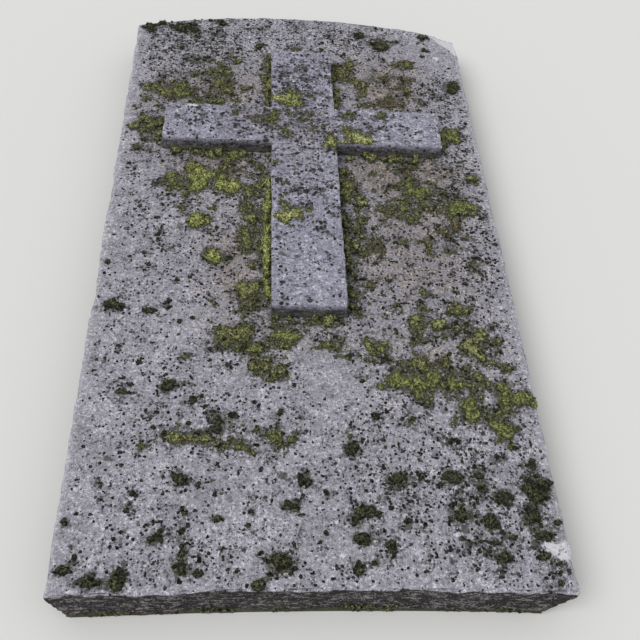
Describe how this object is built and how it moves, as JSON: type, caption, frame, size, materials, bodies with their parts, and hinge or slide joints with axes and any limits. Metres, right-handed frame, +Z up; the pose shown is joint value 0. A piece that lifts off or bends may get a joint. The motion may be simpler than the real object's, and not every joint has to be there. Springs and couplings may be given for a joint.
{
  "type": "recumbent gravestone slab with raised cross",
  "caption": "Flat-lying gravestone: a thick stone slab with an arched head edge and a raised Latin cross on its upper half, weathered and bare of lettering.",
  "frame": {"origin": "middle of the slab in plan, on the level that its underside rests on", "axes": "+Z up; +Y along the slab from its foot to its arched head; +X to the right of someone who stands at the foot and looks at the head"},
  "size_m": [0.9, 1.6966, 0.14],
  "materials": {
    "slab_stone": "weathered, pitted and lichen-spotted grey limestone with moss",
    "bed_mortar": "dark, damp lime mortar",
    "cross_stone": "weathered, finely pitted grey limestone with lichen"
  },
  "bodies": {
    "root": {"ledger_slab": "slab_stone", "cross_bed": "bed_mortar", "raised_cross": "cross_stone"}
  },
  "joints": []
}
